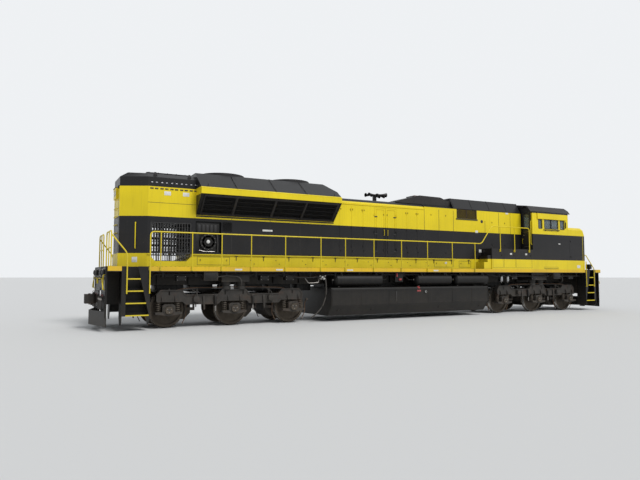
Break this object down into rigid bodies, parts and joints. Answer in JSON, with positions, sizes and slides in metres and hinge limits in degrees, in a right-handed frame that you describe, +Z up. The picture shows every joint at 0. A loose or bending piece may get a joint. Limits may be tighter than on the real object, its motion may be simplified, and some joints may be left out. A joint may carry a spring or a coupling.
{
  "type": "diesel locomotive",
  "caption": "Six-axle hood-unit diesel locomotive with wide-nose cab, flared radiators and three-axle trucks, yellow with a black band.",
  "frame": {"origin": "on the plane of the wheel flanges' lowest points, midway between the coupler faces and between the sides", "axes": "+X forward towards the cab end, +Y to the locomotive's left side, +Z up"},
  "size_m": [22.63, 3.108, 4.96],
  "materials": {
    "body_yellow_black": "yellow enamel with a black band, semi-gloss, lightly weathered",
    "roof_black": "black enamel, dusty",
    "frame_black": "black underframe paint, dusty",
    "rail_yellow": "yellow enamel, chalky",
    "truck_casting": "cast steel under grey-brown dust",
    "hose_rubber": "black rubber hose, dusty",
    "wheel_steel": "forged steel, polished treads",
    "fan_steel": "dull aluminium",
    "glass": "tinted glass",
    "interior_grey": "dark grey trim"
  },
  "bodies": {
    "carbody": {"air_hoses_front": "hose_rubber", "air_hoses_rear": "hose_rubber", "air_reservoirs": "frame_black", "brake_grilles": "roof_black", "cab_base": "body_yellow_black", "cab_front_wall": "body_yellow_black", "cab_glass": "glass", "cab_interior": "interior_grey", "cab_rear_wall": "body_yellow_black", "cab_roof": "roof_black", "cab_sides": "body_yellow_black", "cabinet_hood": "body_yellow_black", "end_rail_front": "rail_yellow", "end_rail_rear": "rail_yellow", "engine_block": "truck_casting", "engine_hood": "body_yellow_black", "fan_guards": "roof_black", "fuel_tank": "frame_black", "handrail_left": "rail_yellow", "handrail_right": "rail_yellow", "hood_base": "body_yellow_black", "horn": "roof_black", "intake_hood": "body_yellow_black", "nose_shell": "body_yellow_black", "pilot_front": "frame_black", "pilot_rear": "frame_black", "radiator_intakes": "roof_black", "radiator_section": "body_yellow_black", "rear_hood": "body_yellow_black", "roof_fairing": "roof_black", "side_cabinets": "body_yellow_black", "steps_front": "frame_black", "steps_rear": "frame_black", "underframe": "frame_black"},
    "rear_truck": {"truck_frame_rear": "truck_casting", "axle_boxes_rear": "truck_casting", "coil_springs_rear": "truck_casting", "traction_motors_rear": "truck_casting"},
    "front_truck": {"truck_frame_front": "truck_casting", "axle_boxes_front": "truck_casting", "coil_springs_front": "truck_casting", "traction_motors_front": "truck_casting"},
    "axle_1": {"wheelset_1": "wheel_steel"},
    "axle_2": {"wheelset_2": "wheel_steel"},
    "axle_3": {"wheelset_3": "wheel_steel"},
    "axle_4": {"wheelset_4": "wheel_steel"},
    "axle_5": {"wheelset_5": "wheel_steel"},
    "axle_6": {"wheelset_6": "wheel_steel"},
    "rear_coupler": {"coupler_rear": "truck_casting"},
    "front_coupler": {"coupler_front": "truck_casting"},
    "rear_fan": {"cooling_fan_rear": "fan_steel"},
    "front_fan": {"cooling_fan_front": "fan_steel"},
    "right_rear_engine_door": {"engine_door_right_rear": "body_yellow_black"},
    "right_front_engine_door": {"engine_door_right_front": "body_yellow_black"},
    "left_rear_engine_door": {"engine_door_left_rear": "body_yellow_black"},
    "left_front_engine_door": {"engine_door_left_front": "body_yellow_black"},
    "rear_cab_door": {"cab_door": "body_yellow_black"},
    "front_nose_door": {"nose_door": "body_yellow_black"}
  },
  "joints": [
    {"name": "rear_truck_swivel", "type": "hinge", "parent": "carbody", "child": "rear_truck", "pos_m": [-7, 0, 1.1], "axis": [0, 0, 1], "range_deg": [-5, 5]},
    {"name": "front_truck_swivel", "type": "hinge", "parent": "carbody", "child": "front_truck", "pos_m": [7, 0, 1.1], "axis": [0, 0, 1], "range_deg": [-5, 5]},
    {"name": "axle_1_spin", "type": "hinge", "parent": "rear_truck", "child": "axle_1", "pos_m": [-9.07, 0, 0.5615], "axis": [0, 1, 0], "continuous": true},
    {"name": "axle_2_spin", "type": "hinge", "parent": "rear_truck", "child": "axle_2", "pos_m": [-7, 0, 0.5615], "axis": [0, 1, 0], "continuous": true},
    {"name": "axle_3_spin", "type": "hinge", "parent": "rear_truck", "child": "axle_3", "pos_m": [-4.93, 0, 0.5615], "axis": [0, 1, 0], "continuous": true},
    {"name": "axle_4_spin", "type": "hinge", "parent": "front_truck", "child": "axle_4", "pos_m": [4.93, 0, 0.5615], "axis": [0, 1, 0], "continuous": true},
    {"name": "axle_5_spin", "type": "hinge", "parent": "front_truck", "child": "axle_5", "pos_m": [7, 0, 0.5615], "axis": [0, 1, 0], "continuous": true},
    {"name": "axle_6_spin", "type": "hinge", "parent": "front_truck", "child": "axle_6", "pos_m": [9.07, 0, 0.5615], "axis": [0, 1, 0], "continuous": true},
    {"name": "rear_coupler_swing", "type": "hinge", "parent": "carbody", "child": "rear_coupler", "pos_m": [-10.42, 0, 0.904], "axis": [0, 0, 1], "range_deg": [-7, 7]},
    {"name": "front_coupler_swing", "type": "hinge", "parent": "carbody", "child": "front_coupler", "pos_m": [10.42, 0, 0.904], "axis": [0, 0, 1], "range_deg": [-7, 7]},
    {"name": "rear_fan_spin", "type": "hinge", "parent": "carbody", "child": "rear_fan", "pos_m": [-7.115, 0, 4.75], "axis": [0, 0, 1], "continuous": true},
    {"name": "front_fan_spin", "type": "hinge", "parent": "carbody", "child": "front_fan", "pos_m": [-4.625, 0, 4.75], "axis": [0, 0, 1], "continuous": true},
    {"name": "right_rear_engine_door_hinge", "type": "hinge", "parent": "carbody", "child": "right_rear_engine_door", "pos_m": [-1.5, -0.966, 3.2], "axis": [0, 0, -1], "range_deg": [0, 110]},
    {"name": "right_front_engine_door_hinge", "type": "hinge", "parent": "carbody", "child": "right_front_engine_door", "pos_m": [-0.5, -0.966, 3.2], "axis": [0, 0, 1], "range_deg": [0, 110]},
    {"name": "left_rear_engine_door_hinge", "type": "hinge", "parent": "carbody", "child": "left_rear_engine_door", "pos_m": [-1.5, 0.966, 3.2], "axis": [0, 0, 1], "range_deg": [0, 110]},
    {"name": "left_front_engine_door_hinge", "type": "hinge", "parent": "carbody", "child": "left_front_engine_door", "pos_m": [-0.5, 0.966, 3.2], "axis": [0, 0, -1], "range_deg": [0, 110]},
    {"name": "rear_cab_door_hinge", "type": "hinge", "parent": "carbody", "child": "rear_cab_door", "pos_m": [6.314, -1.402, 3.5], "axis": [0, 0, 1], "range_deg": [0, 90]},
    {"name": "front_nose_door_hinge", "type": "hinge", "parent": "carbody", "child": "front_nose_door", "pos_m": [9.766, 0.8, 2.6], "axis": [0, 0, 1], "range_deg": [0, 100]}
  ]
}
